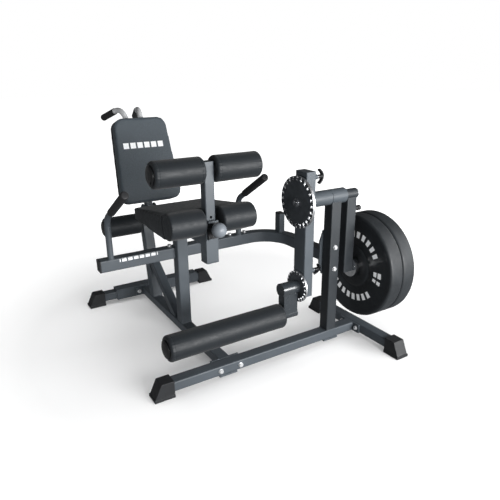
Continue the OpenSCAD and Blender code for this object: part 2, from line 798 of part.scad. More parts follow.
module crank_dial() color(black) placed() difference() {
    rod_x(crank_dial_x, 0, crank_z, small_dial_r);
    bore_x(crank_dial_x, 0, crank_z, crank_shaft_r);
    hole_ring(crank_dial_x, crank_z, small_dial_pitch_r, small_dial_holes, small_hole_r);
}

module ankle_roller() color(black) placed()
    foam_tube([ankle_x - ankle_len / 2, ankle_x + ankle_len / 2], 0, ankle_z, ankle_tube_r + run_gap, 10);

module ankle_roller_caps() color(steel) placed()
    translate([ankle_x - ankle_len / 2 - 1, 0, ankle_z]) mirror([1, 0, 0]) along_x() difference() {
        union() {
            cylinder(h = 4, r = 34);
            cylinder(h = 9, r = 18);
        }
        translate([0, 0, -1]) cylinder(h = 4, r = ankle_tube_r);
    }

// Backrest
module on_backrest() placed() translate(back_origin) rotate([-back_lean, 0, 0]) children();

module back_outline(inset) hull() {
    r = back_corner - inset;
    for (s = [-1, 1]) {
        translate([s * (back_w / 2 - back_corner), back_corner]) circle(r, $fn = 32);
        translate([s * (back_top_w / 2 - back_corner), back_len - back_corner]) circle(r, $fn = 32);
    }
}

module backrest_pad() color("#2d3033") on_backrest() translate([0, back_pad_t, 0]) rotate([90, 0, 0])
    linear_extrude(back_pad_t) back_outline(0);

module backrest_board() color(black) on_backrest()
    translate([0, back_pad_t + back_board_t, 0]) rotate([90, 0, 0])
        linear_extrude(back_board_t) back_outline(1);

module backrest_frame() color(graphite) on_backrest() {
    translate([0, spine_y, hinge_local_z]) linear_extrude(340) tube_section(spine_w, spine_d);
    for (z = [80, 250]) slab([-90, spine_y - spine_d / 2 - strap_t, z], [90, spine_y - spine_d / 2, z + 40]);
    rod_x([-half_w + 2, half_w - 2], spine_y, hinge_local_z, 14);
    rod_x([-half_w - 9, half_w + 9], spine_y, hinge_local_z, hinge_r);
    for (x = [[-half_w - 10, -half_w - 7], [half_w + 7, half_w + 10]]) rod_x(x, spine_y, hinge_local_z, 13);
    sector();
}

// Perforated sector beside the spine, round the hinge
module sector() translate([spine_w / 2, spine_y, hinge_local_z]) rotate([back_lean, 0, 0]) rotate([90, 0, 90])
    linear_extrude(sector_t) difference() {
        circle(sector_r + sector_rim);
        rotate(sector_pin_angle - sector_margin) translate([-100, -100]) square([200, 100]);
        rotate(sector_pin_angle + sector_step * (sector_stops - 1) + sector_margin)
            translate([-100, 0]) square([200, 100]);
        for (i = [0:sector_stops - 1])
            rotate(sector_pin_angle + i * sector_step) translate([sector_r, 0]) circle(pin_r + bolt_gap);
    }

module one_pull_handle(side) on_backrest()
    translate([side * pull_x, spine_y - spine_d / 2 + pull_r, pull_foot_z]) mirror([side < 0 ? 1 : 0, 0, 0])
        rotate([0, 0, pull_turn]) children();

pull_rise = pull_corner_z - pull_foot_z - pull_bend_r * tan(pull_bend / 2);

module pull_handles() color(steel) for (side = [-1, 1]) one_pull_handle(side)
    bent_bar(pull_rise, pull_bend_r, pull_bend, pull_reach, pull_r);

module pull_handle_grips() color(black) for (side = [-1, 1]) one_pull_handle(side)
    on_bent_end(pull_rise, pull_bend_r, pull_bend) difference() {
        translate([0, 0, 6]) cylinder(h = pull_reach - 3, r = pull_grip_r);
        translate([0, 0, 5]) cylinder(h = pull_reach - 5, r = pull_r);
    }

front_base_bar();
right_base_bar();
base_rail();
rear_base_bar();
foot_caps();
front_upright();
rear_upright();
diagonal_brace();
cross_beam();
beam_end_cap();
stub_post();
stub_post_cap();
right_upright();
bearing_housing();
pivot_bearings();
seat_carrier();
seat_board();
seat_pad();
side_handle_left();
side_handle_right();
side_grips();
frame_bolts();
recline_bracket();
rear_roller_tube();
rear_roller_caps();
rear_roller_left();
rear_roller_right();
thigh_post();
thigh_roller_caps();
thigh_roller_left();
thigh_roller_right();
post_pin();
post_knob();
pivot_shaft();
index_dial();
weight_arm();
horn_flange();
weight_horn();
arm_peg();
inner_plate();
inner_plate_hub();
outer_plate();
outer_plate_hub();
lever_arm();
lever_bushings();
upper_pin();
upper_pin_handle();
lower_pin();
lower_pin_handle();
crank();
crank_dial();
ankle_roller();
ankle_roller_caps();
backrest_frame();
backrest_board();
backrest_pad();
pull_handles();
pull_handle_grips();
recline_pin();
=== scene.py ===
"""Looks of the plate-loaded leg extension machine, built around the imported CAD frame."""

import json
import math

import bmesh
import bpy
import numpy as np
from mathutils import Matrix, Vector, noise
from mathutils.bvhtree import BVHTree


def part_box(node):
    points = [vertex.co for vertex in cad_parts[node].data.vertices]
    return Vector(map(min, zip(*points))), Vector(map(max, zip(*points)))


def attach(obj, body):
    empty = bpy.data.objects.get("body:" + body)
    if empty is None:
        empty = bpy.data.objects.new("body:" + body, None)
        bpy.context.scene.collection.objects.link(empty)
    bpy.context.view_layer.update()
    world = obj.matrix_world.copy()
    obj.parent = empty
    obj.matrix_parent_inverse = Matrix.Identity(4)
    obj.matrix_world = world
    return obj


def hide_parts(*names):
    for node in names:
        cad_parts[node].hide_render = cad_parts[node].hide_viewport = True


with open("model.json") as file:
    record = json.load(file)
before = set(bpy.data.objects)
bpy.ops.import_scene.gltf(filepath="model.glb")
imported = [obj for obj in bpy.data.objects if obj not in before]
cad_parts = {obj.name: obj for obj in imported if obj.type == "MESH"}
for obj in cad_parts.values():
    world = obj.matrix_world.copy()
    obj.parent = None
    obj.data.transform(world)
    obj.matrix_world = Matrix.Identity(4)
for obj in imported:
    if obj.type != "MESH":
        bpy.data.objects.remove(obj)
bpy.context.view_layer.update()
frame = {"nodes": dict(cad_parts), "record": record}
scene = bpy.context.scene
record = frame["record"]

MM = 0.001
BODY_OF = {
    node: body
    for body, names in record["behaviour"]["bodies"].items()
    for node in names
}
SLOT_OF = {part["node"]: part["material_slot"] for part in record["subparts"]}


# ---------------------------------------------------------------- materials
class Shade:
    """A node material round one Principled shader, with short calls for the nodes that feed it."""

    def __init__(self, name, color, rough, metallic=0.0, **sockets):
        self.material = bpy.data.materials.new(name)
        self.material.use_nodes = True
        self.tree = self.material.node_tree
        self.shader = self.tree.nodes["Principled BSDF"]
        self.set(self.shader, Base_Color=(*color, 1), Roughness=rough, Metallic=metallic, **sockets)
        self.where = self.tree.nodes.new("ShaderNodeTexCoord")

    def set(self, node, **values):
        for key, value in values.items():
            node.inputs[key.replace("_", " ")].default_value = value
        return node

    def link(self, source, target):
        self.tree.links.new(source, target)

    def coords(self, stretch=(1, 1, 1)):
        mapping = self.tree.nodes.new("ShaderNodeMapping")
        self.set(mapping, Scale=stretch)
        self.link(self.where.outputs["Object"], mapping.inputs["Vector"])
        return mapping.outputs["Vector"]

    def noise(self, scale, detail=3.0, stretch=(1, 1, 1)):
        node = self.tree.nodes.new("ShaderNodeTexNoise")
        self.set(node, Scale=scale, Detail=detail)
        self.link(self.coords(stretch), node.inputs["Vector"])
        return node.outputs["Fac"]

    def cells(self, scale):
        node = self.tree.nodes.new("ShaderNodeTexVoronoi")
        node.feature = "SMOOTH_F1"
        self.set(node, Scale=scale, Smoothness=0.35)
        self.link(self.coords(), node.inputs["Vector"])
        return node.outputs["Distance"]

    def remap(self, value, from_low, from_high, to_low, to_high):
        node = self.tree.nodes.new("ShaderNodeMapRange")
        self.set(node, From_Min=from_low, From_Max=from_high, To_Min=to_low, To_Max=to_high)
        self.link(value, node.inputs["Value"])
        return node.outputs["Result"]

    def math(self, kind, a, b):
        node = self.tree.nodes.new("ShaderNodeMath")
        node.operation = kind
        for socket, value in zip(node.inputs, (a, b)):
            if isinstance(value, (int, float)):
                socket.default_value = value
            else:
                self.link(value, socket)
        return node.outputs["Value"]

    def mix(self, factor, a, b):
        node = self.tree.nodes.new("ShaderNodeMix")
        node.data_type = "RGBA"
        self.link(factor, node.inputs["Factor"])
        for index, value in ((6, a), (7, b)):
            if isinstance(value, tuple):
                node.inputs[index].default_value = (*value, 1)
            else:
                self.link(value, node.inputs[index])
        return node.outputs[2]

    def color(self, source):
        self.link(source, self.shader.inputs["Base Color"])

    def rough(self, source):
        self.link(source, self.shader.inputs["Roughness"])

    def relief(self, height, depth, strength=1.0, under=None):
        node = self.tree.nodes.new("ShaderNodeBump")
        self.set(node, Distance=depth, Strength=strength)
        self.link(height, node.inputs["Height"])
        if under is not None:
            self.link(under, node.inputs["Normal"])
        self.link(node.outputs["Normal"], self.shader.inputs["Normal"])
        return node.outputs["Normal"]

    def round_edges(self, radius):
        """A normal that turns smoothly over the edges, and a mask that is 1 along them."""
        bevel = self.tree.nodes.new("ShaderNodeBevel")
        bevel.samples = 4
        self.set(bevel, Radius=radius)
        geometry = self.tree.nodes.new("ShaderNodeNewGeometry")
        dot = self.tree.nodes.new("ShaderNodeVectorMath")
        dot.operation = "DOT_PRODUCT"
        self.link(bevel.outputs["Normal"], dot.inputs[0])
        self.link(geometry.outputs["Normal"], dot.inputs[1])
        self.link(bevel.outputs["Normal"], self.shader.inputs["Normal"])
        return bevel.outputs["Normal"], self.remap(dot.outputs["Value"], 0.995, 0.86, 0.0, 1.0)


def darker(color, k):
    return tuple(c * k for c in color)


def painted(name, color, rough=0.45, edge=2.4, grain=0.00022, coat=0.12, coat_rough=0.35):
    """Powder coat: fine orange peel, cloudy gloss, and paler paint along the edges: a painted highlight, made
    patchy like rub wear.
    """
    s = Shade(name, color, rough, Coat_Weight=coat, Coat_Roughness=coat_rough, Specular_IOR_Level=0.4)
    normal, edges = s.round_edges(1.6 * MM)
    cloud = s.remap(s.noise(7, 4), 0.3, 0.7, 0.0, 1.0)
    body = s.mix(cloud, darker(color, 0.9), darker(color, 1.1))
    # Paler along the edges: a painted highlight, broken up by noise so it looks like rub wear.
    edge_highlight_and_wear = s.math("MULTIPLY", edges, s.remap(s.noise(55, 5), 0.42, 0.62, 0.35, 1.0))
    s.color(s.mix(edge_highlight_and_wear, body, darker(color, edge)))
    s.rough(s.remap(s.noise(30, 5), 0.3, 0.7, rough - 0.07, rough + 0.09))
    s.relief(s.noise(850, 2), grain, 0.6, under=normal)
    return s.material


def vinyl(name, color, rough=0.5, grain=420, depth=0.00035, sheen=0.1):
    """Upholstery vinyl: pebbled grain, faint pulls and a soft sheen."""
    s = Shade(name, color, rough, Sheen_Weight=sheen, Sheen_Roughness=0.5, Specular_IOR_Level=0.3)
    pebbles = s.cells(grain)
    pulls = s.noise(38, 4)
    tone = s.mix(s.remap(s.noise(11, 5), 0.3, 0.7, 0, 1), darker(color, 0.86), darker(color, 1.14))
    s.color(s.mix(s.remap(pebbles, 0.1, 0.55, 0, 1), tone, darker(color, 0.72)))
    s.rough(s.remap(s.noise(70, 4), 0.3, 0.7, rough - 0.06, rough + 0.08))
    folds = s.relief(pulls, 0.0011, 0.35)
    s.relief(pebbles, depth, 0.55, under=folds)
    return s.material


def rubber(name, color, rough=0.55, grain=600, depth=0.0003):
    s = Shade(name, color, rough, Specular_IOR_Level=0.4)
    normal, edges = s.round_edges(1.5 * MM)
    dust = s.remap(s.noise(14, 6), 0.35, 0.75, 0, 1)
    tone = s.mix(dust, darker(color, 0.85), darker(color, 1.25))
    # Paler along every edge: a painted edge highlight.
    s.color(s.mix(s.math("MULTIPLY", edges, 0.5), tone, darker(color, 2.2)))
    s.rough(s.remap(s.noise(60, 4), 0.3, 0.7, rough - 0.08, rough + 0.1))
    s.relief(s.noise(grain, 3), depth, 0.6, under=normal)
    return s.material


def metal(name, color, rough, brushed=(1, 1, 1), depth=0.00004, metallic=1.0):
    """Bare or plated metal: fine brushed lines, faint smears and softened edges."""
    s = Shade(name, color, rough, metallic=metallic)
    normal, _ = s.round_edges(0.8 * MM)
    lines = s.noise(900, 2, brushed)
    smears = s.noise(26, 5)
    s.color(s.mix(s.remap(smears, 0.3, 0.75, 0, 1), darker(color, 1.05), darker(color, 0.82)))
    s.rough(s.remap(smears, 0.3, 0.75, rough, rough + 0.14))
    s.relief(lines, depth, 0.5, under=normal)
    return s.material


def dial_paint(name, color, rim):
    """Black faces with a bare rim and bare hole walls: the faces look along X."""
    s = Shade(name, color, 0.38, Specular_IOR_Level=0.5)
    split = s.tree.nodes.new("ShaderNodeSeparateXYZ")
    s.link(s.where.outputs["Normal"], split.inputs["Vector"])
    along = s.math("ABSOLUTE", split.outputs["X"], 0)
    wall = s.remap(along, 0.62, 0.45, 0.0, 1.0)
    normal, edges = s.round_edges(0.9 * MM)
    bare = s.math("MAXIMUM", wall, s.remap(edges, 0.25, 0.8, 0.0, 0.8))
    tone = s.mix(s.remap(s.noise(40, 5), 0.3, 0.7, 0, 1), darker(color, 0.8), darker(color, 1.3))
    s.color(s.mix(bare, tone, rim))
    s.link(bare, s.shader.inputs["Metallic"])
    s.rough(s.remap(s.noise(120, 3), 0.3, 0.7, 0.3, 0.46))
    s.relief(s.noise(900, 2), 0.00015, 0.5, under=normal)
    return s.material


def glowing_print_paint(name, color):
    """Screen print: a little scuffed, with a faint glow, painted light that keeps it as bright in the shade
    as white ink reads.
    """
    # The emission is painted light: the ink glows so that it reads bright in the shade.
    s = Shade(name, color, 0.5, Emission_Color=(*color, 1), Emission_Strength=0.22)
    wear = s.noise(180, 5)
    s.color(s.mix(s.remap(wear, 0.35, 0.75, 0, 1), color, darker(color, 0.82)))
    s.rough(s.remap(wear, 0.3, 0.7, 0.42, 0.6))
    s.relief(s.noise(900, 2), 0.00008, 0.4)
    return s.material


PAINT = (0.067, 0.079, 0.091)
# The right upright and the weight arm take the frame paint at 37 % of its brightness.
DARK_PAINT_NODES = ("right_upright", "weight_arm")
DARK_PAINT_SHARE = 0.37
GLOSS_PAINT_SHARE = 0.46
MATERIALS = {
    "frame_paint": painted("frame_paint", PAINT),
    "foot_rubber": rubber("foot_rubber", (0.017, 0.018, 0.02), 0.5),
    "end_plug": rubber("end_plug", (0.016, 0.017, 0.019), 0.42, 900, 0.00015),
    "bearing_steel": metal("bearing_steel", (0.6, 0.61, 0.63), 0.24, (0.05, 1, 1)),
    "seat_wood": vinyl("seat_wood", (0.05, 0.053, 0.057), 0.5, 300, 0.0003),
    "seat_vinyl": vinyl("seat_vinyl", (0.0185, 0.0225, 0.027), 0.52),
    "back_vinyl": vinyl("back_vinyl", (0.065, 0.082, 0.097), 0.52, 330, 0.0005),
    "roller_foam": vinyl("roller_foam", (0.0155, 0.0195, 0.0235), 0.5, 520, 0.0003),
    "grip_rubber": rubber("grip_rubber", (0.016, 0.0165, 0.018), 0.5, 700, 0.0004),
    "zinc_bolt": metal("zinc_bolt", (0.82, 0.83, 0.84), 0.3, metallic=0.6),
    "roller_cap": rubber("roller_cap", (0.011, 0.0115, 0.0125), 0.14, 900, 0.00004),
    "pin_steel": metal("pin_steel", (0.6, 0.61, 0.63), 0.22, (1, 0.05, 1)),
    "knob_grey": rubber("knob_grey", (0.185, 0.205, 0.228), 0.36, 900, 0.0001),
    "knob_black": rubber("knob_black", (0.014, 0.0145, 0.016), 0.28, 900, 0.0001),
    "dial_paint": dial_paint("dial_paint", (0.052, 0.058, 0.065), (0.72, 0.73, 0.75)),
    "horn_chrome": metal("horn_chrome", (0.82, 0.83, 0.85), 0.12),
    "handle_chrome": metal("handle_chrome", (0.9, 0.91, 0.92), 0.14, metallic=0.3),
    "plate_rubber": rubber("plate_rubber", (0.0195, 0.0225, 0.0255), 0.5, 420, 0.0004),
    "plate_insert": metal("plate_insert", (0.6, 0.61, 0.63), 0.22, (1, 0.2, 0.2)),
    "bushing_plastic": rubber("bushing_plastic", (0.6, 0.57, 0.5), 0.4, 900, 0.0001),
}
# All white print glows a little: painted light.
GLOWING_WHITE_PRINT = glowing_print_paint("glowing_white_print", (0.78, 0.79, 0.8))
for node_name, node_object in frame["nodes"].items():
    if not node_object.material_slots:
        node_object.data.materials.append(None)
    for material_slot in node_object.material_slots:
        material_slot.material = MATERIALS[SLOT_OF[node_name]]
dark_paint = painted("dark_paint", darker(PAINT, DARK_PAINT_SHARE))
for node_name in DARK_PAINT_NODES:
    frame["nodes"][node_name].material_slots[0].material = dark_paint
gloss_paint = painted("gloss_paint", darker(PAINT, GLOSS_PAINT_SHARE), 0.26, coat=0.8, coat_rough=0.24)
frame["nodes"]["crank"].material_slots[0].material = gloss_paint


# ---------------------------------------------------------------- mesh helpers
def points_of(mesh):
    flat = np.zeros(len(mesh.vertices) * 3)
    mesh.vertices.foreach_get("co", flat)
    return flat.reshape(-1, 3)


def move_points(mesh, points):
    mesh.vertices.foreach_set("co", np.asarray(points, np.float32).ravel())
    mesh.update()


def normals_of(mesh):
    flat = np.zeros(len(mesh.vertices) * 3)
    mesh.vertices.foreach_get("normal", flat)
    return flat.reshape(-1, 3)


def new_piece(name, mesh, like=None, slot=None, body=None, material=None, smooth=True):
    """Links a mesh as a piece that rides where node `like` does and takes its slot's finish."""
    piece = bpy.data.objects.new(name, mesh)
    scene.collection.objects.link(piece)
    slot = slot or SLOT_OF[like]
    mesh.materials.clear()
    mesh.materials.append(material or MATERIALS[slot])
    mesh.polygons.foreach_set("use_smooth", [smooth] * len(mesh.polygons))
    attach(piece, body or BODY_OF[like])
    return piece


def mesh_from(bm, name):
    """Closes seams between points that coincide, and turns the bmesh into a mesh."""
    bmesh.ops.remove_doubles(bm, verts=bm.verts, dist=0.01 * MM)
    bmesh.ops.recalc_face_normals(bm, faces=bm.faces)
    mesh = bpy.data.meshes.new(name)
    bm.to_mesh(mesh)
    bm.free()
    return mesh


def add_lathe(bm, profile, place, segments=64, ripple=None):
    """Turns a closed profile of (along, radius) about the place's Z axis; ripple gives a point's radius."""
    rings = []
    for step in range(segments):
        angle = 2 * math.pi * step / segments
        ring = []
        for along, radius in profile:
            r = ripple(along, radius, angle) if ripple else radius
            ring.append(bm.verts.new(place @ Vector((r * math.cos(angle), r * math.sin(angle), along))))
        rings.append(ring)
    count = len(profile)
    for step in range(segments):
        a, b = rings[step], rings[(step + 1) % segments]
        for i in range(count):
            j = (i + 1) % count
            bm.faces.new((a[i], a[j], b[j], b[i]))


def arc(center_along, center_radius, r, start, stop, steps=6):
    """Points of a fillet in a lathe profile; angles in degrees, 0 outwards and 90 along the axis."""
    out = []
    for i in range(steps + 1):
        t = math.radians(start + (stop - start) * i / steps)
        out.append((center_along + r * math.sin(t), center_radius + r * math.cos(t)))
    return out


def x_place(x, y, z):
    """Place whose Z axis runs along +X from (x, y, z)."""
    return Matrix.Translation((x, y, z)) @ Matrix.Rotation(math.pi / 2, 4, "Y")


def middle_of(node):
    low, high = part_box(node)
    return (Vector(low) + Vector(high)) / 2


def place_along(start, axis):
    """Place whose Z axis runs from start along axis."""
    return Matrix.Translation(start) @ Vector(axis).to_track_quat("Z", "Y").to_matrix().to_4x4()


TUBE_SIDES = 8


def add_tube(bm, points, radius, up):
    """Sweeps a round section round a closed path in the plane across `up`; radius depends on the index."""
    count = len(points)
    rings = []
    for i, p in enumerate(points):
        side = (points[(i + 1) % count] - points[(i - 1) % count]).cross(up).normalized()
        r = radius(i)
        rings.append([
            bm.verts.new(p + r * (math.cos(a) * side + math.sin(a) * up))
            for a in (2 * math.pi * k / TUBE_SIDES for k in range(TUBE_SIDES))
        ])
    for i in range(count):
        a, b = rings[i], rings[(i + 1) % count]
        for k in range(TUBE_SIDES):
            m = (k + 1) % TUBE_SIDES
            bm.faces.new((a[k], a[m], b[m], b[k]))


def solids_of(node):
    """Points of each separate solid of a CAD node, from low X to high X."""
    bm = bmesh.new()
    bm.from_mesh(frame["nodes"][node].data)
    bmesh.ops.remove_doubles(bm, verts=bm.verts, dist=0.001 * MM)
    seen = set()
    solids = []
    for first in bm.verts:
        if first in seen:
            continue
        seen.add(first)
        stack, island = [first], []
        while stack:
            vert = stack.pop()
            island.append(vert.co[:])
            for edge in vert.link_edges:
                other = edge.other_vert(vert)
                if other not in seen:
                    seen.add(other)
                    stack.append(other)
        solids.append(np.array(island))
    bm.free()
    return sorted(solids, key=lambda points: points[:, 0].mean())


def apply_modifiers(piece):
    bpy.context.view_layer.update()
    graph = bpy.context.evaluated_depsgraph_get()
    mesh = bpy.data.meshes.new_from_object(piece.evaluated_get(graph))
    piece.modifiers.clear()
    old = piece.data
    piece.data = mesh
    bpy.data.meshes.remove(old)


# ---------------------------------------------------------------- rollers
ROLLER_BORE = 14.5 * MM


def roller_profile(length, radius, bore):
    """Foam tube in a vinyl sleeve: rolled ends, a stitched seam near each end, a dished end face."""
    edge = 0.2 * radius
    seam_at = 0.32 * radius
    half = [(1.6 * MM, bore), (1.2 * MM, 0.55 * radius), (2.4 * MM, 0.6 * radius), (0.6 * MM, 0.66 * radius)]
    half += arc(edge, radius - edge, edge, -82, 0, 8)
    half += [(seam_at + along * MM, radius - sunk * MM)
             for along, sunk in ((-2, 0), (-0.8, 0.1), (0, 0.9), (0.8, 0.1), (2, 0))]
    span = length - 2 * (seam_at + 2 * MM)
    middle = [(seam_at + 2 * MM + span * k / 14, radius) for k in range(1, 14)]
    return half + middle + [(length - along, r) for along, r in reversed(half)]


def sleeve_ripple(length, radius, seed):
    """Gathers at the ends, a slack sag and a lengthwise seam at the back of the sleeve."""
    def ripple(along, r, angle):
        if r < 0.6 * radius:
            return r
        end = min(along, length - along)
        gather = 0.35 * MM * math.exp(-((end - 0.012) / 0.008) ** 2) * math.sin(26 * angle + seed)
        at = Vector((along * 14 + seed, math.cos(angle) * 1.2, math.sin(angle) * 1.2))
        slack = 0.45 * MM * noise.noise(at)
        seam = -0.7 * MM * math.exp(-(math.sin((angle - 0.6) / 2) / 0.018) ** 2)
        return r - 0.5 * MM + gather + slack + seam
    return ripple


def make_roller(node, seed):
    low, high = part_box(node)
    length = high[0] - low[0]
    radius = (high[2] - low[2]) / 2
    middle = middle_of(node)
    bm = bmesh.new()
    add_lathe(bm, roller_profile(length, radius, ROLLER_BORE), x_place(low[0], middle[1], middle[2]), 160,
              sleeve_ripple(length, radius, seed))
    piece = new_piece(node + "_sleeve", mesh_from(bm, node + "_sleeve"), like=node)
    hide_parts(node)


ROLLERS = ["thigh_roller_left", "thigh_roller_right", "ankle_roller", "rear_roller_left", "rear_roller_right"]
for number, roller in enumerate(ROLLERS):
    make_roller(roller, 1.7 * number)


# ---------------------------------------------------------------- turned pieces
def make_roller_caps(node, sides):
    """Domed end caps with a raised button; sides are the ways they point along X, from low X up."""
    bm = bmesh.new()
    half = [(0, 12.6), (0, 33), (0.6, 35), (2, 36), (3.2, 35.6), (5, 33.5), (7, 29), (8.3, 23), (8.9, 18.5),
            (8.2, 17.3), (8.2, 15.9), (9.1, 15), (9.8, 9), (10, 0), (5, 0), (5, 12.6)]
    profile = [(along * MM, radius * MM) for along, radius in half]
    for points, side in zip(solids_of(node), sides):
        low, high = points.min(axis=0), points.max(axis=0)
        y, z = (low[1:] + high[1:]) / 2
        foot = low[0] if side > 0 else high[0]
        add_lathe(bm, profile, place_along((foot, y, z), (side, 0, 0)), 96)
    piece = new_piece(node + "_domes", mesh_from(bm, node + "_domes"), like=node)
    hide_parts(node)


def make_grips(node, name, bore):
    """Rubber grips with rolled ends: the end with more CAD points is the open one."""
    bm = bmesh.new()
    for number, points in enumerate(solids_of(node)):
        middle = (points.min(axis=0) + points.max(axis=0)) / 2
        axis = np.linalg.svd(points - points.mean(axis=0), full_matrices=False)[2][0]
        along = (points - middle) @ axis
        near, far = along < along.min() + 0.5 * MM, along > along.max() - 0.5 * MM
        if far.sum() > near.sum():
            axis, near, far = -axis, far, near
        start, end = points[near].mean(axis=0), points[far].mean(axis=0)
        length = float(np.linalg.norm(end - start))
        radius = float(np.linalg.norm(np.cross(points - start, axis), axis=1).max())
        lip, tip = 2.5 * MM, 6 * MM
        profile = [(0.3 * MM, bore), (0.0, radius - lip)] + arc(lip, radius - lip, lip, -90, 0, 4)
        profile += [(6 * MM, radius), (7 * MM, radius - 0.8 * MM), (8 * MM, radius)]
        steps = 24
        profile += [(8 * MM + (length - 8 * MM - tip) * k / steps, radius) for k in range(1, steps)]
        profile += arc(length - tip, radius - tip, tip, 0, 90, 7) + [(length, 0), (length - 4 * MM, 0)]
        profile += [(length - 4 * MM, bore)]

        def squeeze(at, r, angle):
            if r < bore + 1 * MM:
                return r
            where = Vector((at * 40 + number, math.cos(angle), math.sin(angle)))
            return r - 0.25 * MM + 0.3 * MM * noise.noise(where)

        add_lathe(bm, profile, place_along(start, axis), 64, squeeze)
    piece = new_piece(name, mesh_from(bm, name), like=node)
    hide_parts(node)


def make_knob():
    """Ball knob on a stepped collar, with a parting line and a small flat on its front."""
    low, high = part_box("post_knob")
    middle = middle_of("post_knob")
    ball = (high[2] - low[2]) / 2
    total = high[1] - low[1]
    bore = 5.2 * MM

    def on_ball(degrees):
        t = math.radians(degrees)
        return ball - ball * math.cos(t), ball * math.sin(t)

    profile = [(0.9 * MM, 0), (0.9 * MM, 7 * MM), (1.3 * MM, 8.2 * MM)]
    profile += [on_ball(degrees) for degrees in range(24, 86, 4)]
    profile += [(ball + along * MM, ball - sunk * MM)
                for along, sunk in ((-0.8, 0), (-0.5, 0.5), (0.5, 0.5), (0.8, 0))]
    profile += [on_ball(degrees) for degrees in range(94, 146, 4)]
    neck = ball + 22 * MM
    profile += [(neck, 12.5 * MM), (neck + 2 * MM, 12.5 * MM), (neck + 2.6 * MM, 10.5 * MM)]
    profile += [(total - 6 * MM, 10 * MM), (total - 5 * MM, 11 * MM), (total, 11 * MM), (total, bore)]
    profile += [(ball + 13 * MM, bore), (ball + 13 * MM, 0)]
    bm = bmesh.new()
    add_lathe(bm, profile, place_along((middle[0], low[1], middle[2]), (0, 1, 0)), 96)
    piece = new_piece("post_knob_ball", mesh_from(bm, "post_knob_ball"), like="post_knob")
    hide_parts("post_knob")


PLATE_FACE = 3 * MM


def plate_profile(width, outer, inner):
    """Bumper plate: raised ring round the bore, a groove, a flat print band and a rounded rim."""
    edge = 10 * MM
    side = [(4, inner / MM + 0.1), (4, 43), (1, 47), (1, 86), (1.6, 88), (4.2, 92), (4.2, 98), (3, 100)]
    side = [(along * MM, radius * MM) for along, radius in side]
    side += [(PLATE_FACE, outer - 26 * MM), (1.2 * MM, outer - 20 * MM), (0, outer - 15 * MM)]
    side += arc(edge, outer - edge, edge, -90, 0, 9)
    side += [(width / 2 - 6 * MM, outer)]
    return side + [(width - along, radius) for along, radius in reversed(side)]


def add_arc_block(bm, place, low, high, inner, outer, start, stop):
    """A thin curved bar between two heights, radii and angles (degrees) about the place's Z axis."""
    steps = max(2, int(abs(stop - start) / 1.5))
    rings = []
    for step in range(steps + 1):
        t = math.radians(start + (stop - start) * step / steps)
        turn = Vector((math.cos(t), math.sin(t), 0))
        rings.append([bm.verts.new(place @ (turn * r + Vector((0, 0, h))))
                      for r, h in ((inner, low), (outer, low), (outer, high), (inner, high))])
    for a, b in zip(rings, rings[1:]):
        for k in range(4):
            bm.faces.new((a[k], a[(k + 1) % 4], b[(k + 1) % 4], b[k]))
    bm.faces.new(reversed(rings[0]))
    bm.faces.new(rings[-1])


PLATE_DASHES = [(centre + 12.6 * k - 56, centre + 12.6 * k - 49) for centre in (100, 280) for k in range(9)]
PLATE_BLOCKS = [(side + start, side + stop) for side in (10, 190) for start, stop in ((-14, -5), (0, 6))]
DASH_RADII = (130 * MM, 158 * MM)
BLOCK_RADII = ((122 * MM, 139 * MM), (146 * MM, 164 * MM))


def make_plate(node):
    low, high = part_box(node)
    middle = middle_of(node)
    width = high[0] - low[0]
    outer = (high[2] - low[2]) / 2
    hub_low, hub_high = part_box(node + "_hub")
    inner = (hub_high[2] - hub_low[2]) / 2
    bm = bmesh.new()
    place = place_along((low[0], middle[1], middle[2]), (1, 0, 0))
    add_lathe(bm, plate_profile(width, outer, inner), place, 192)
    piece = new_piece(node + "_bumper", mesh_from(bm, node + "_bumper"), like=node)
    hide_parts(node)
    bm = bmesh.new()
    for x, way in ((low[0], 1), (high[0], -1)):
        # Local X of this place points down, so angles are measured from there
        place = place_along((x, middle[1], middle[2]), (way, 0, 0))
        ink = (PLATE_FACE - 0.3 * MM, PLATE_FACE + 0.3 * MM)
        turn = math.degrees(math.atan2(*(place.to_3x3().inverted() @ Vector((0, -1, 0))).yx))
        for start, stop in PLATE_DASHES:
            add_arc_block(bm, place, *ink, *DASH_RADII, start + turn, stop + turn)
        for start, stop in PLATE_BLOCKS:
            for radii in BLOCK_RADII:
                add_arc_block(bm, place, *ink, *radii, start + turn, stop + turn)
    new_piece(node + "_print", mesh_from(bm, node + "_print"), like=node, material=GLOWING_WHITE_PRINT, smooth=False)


def make_dial_ticks(node, hole_pitch, hole_r, count, wide):
    """White ticks between the holes and the rim; wide is half of one in degrees, and each fourth is wider."""
    low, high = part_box(node)
    middle = middle_of(node)
    outer = (high[2] - low[2]) / 2
    place = place_along((low[0], middle[1], middle[2]), (1, 0, 0))
    bm = bmesh.new()
    for k in range(count):
        angle = 360 * k / count
        half = wide if k % 4 else wide + 1.5
        add_arc_block(bm, place, -0.25 * MM, 0.2 * MM, hole_pitch + hole_r + 1 * MM, outer - 1 * MM,
                      angle - half, angle + half)
    new_piece(node + "_ticks", mesh_from(bm, node + "_ticks"), like=node, material=GLOWING_WHITE_PRINT, smooth=False)


